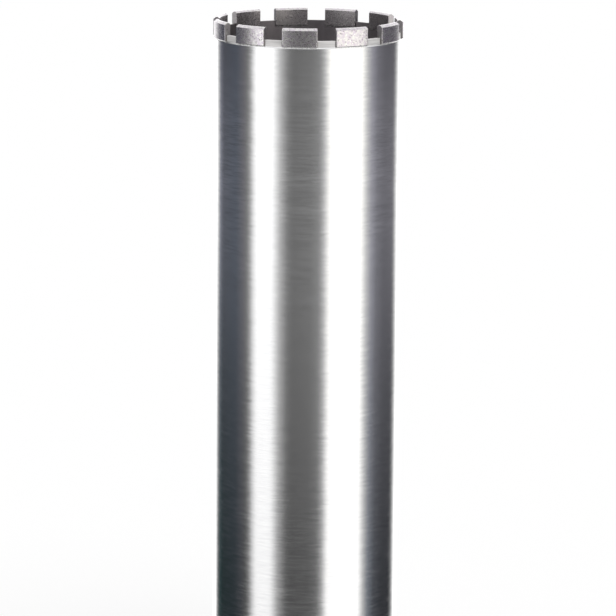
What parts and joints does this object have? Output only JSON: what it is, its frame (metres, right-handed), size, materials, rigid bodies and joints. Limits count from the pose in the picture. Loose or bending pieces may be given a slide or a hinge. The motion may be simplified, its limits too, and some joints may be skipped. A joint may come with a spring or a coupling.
{
  "type": "diamond core bit",
  "caption": "Thin steel barrel with brazed diamond segments round one end and a threaded drive hub at the other, for drilling round holes in concrete.",
  "frame": {"origin": "centre of the hub's end face", "axes": "+Z along the bit's axis towards the cutting crown; -Y through the middle of the first segment"},
  "size_m": [0.127, 0.1266, 0.485],
  "materials": {
    "barrel_steel": "polished round the barrel, fine turning lines",
    "segment_matrix": "ground sintered metal and diamond grit",
    "plate_steel": "turned steel with welds",
    "hub_steel": "machined steel"
  },
  "bodies": {
    "root": {"barrel": "barrel_steel", "segment_01": "segment_matrix", "segment_02": "segment_matrix", "segment_03": "segment_matrix", "segment_04": "segment_matrix", "segment_05": "segment_matrix", "segment_06": "segment_matrix", "segment_07": "segment_matrix", "segment_08": "segment_matrix", "segment_09": "segment_matrix", "segment_10": "segment_matrix", "segment_11": "segment_matrix", "back_plate": "plate_steel", "hub": "hub_steel"}
  },
  "joints": []
}
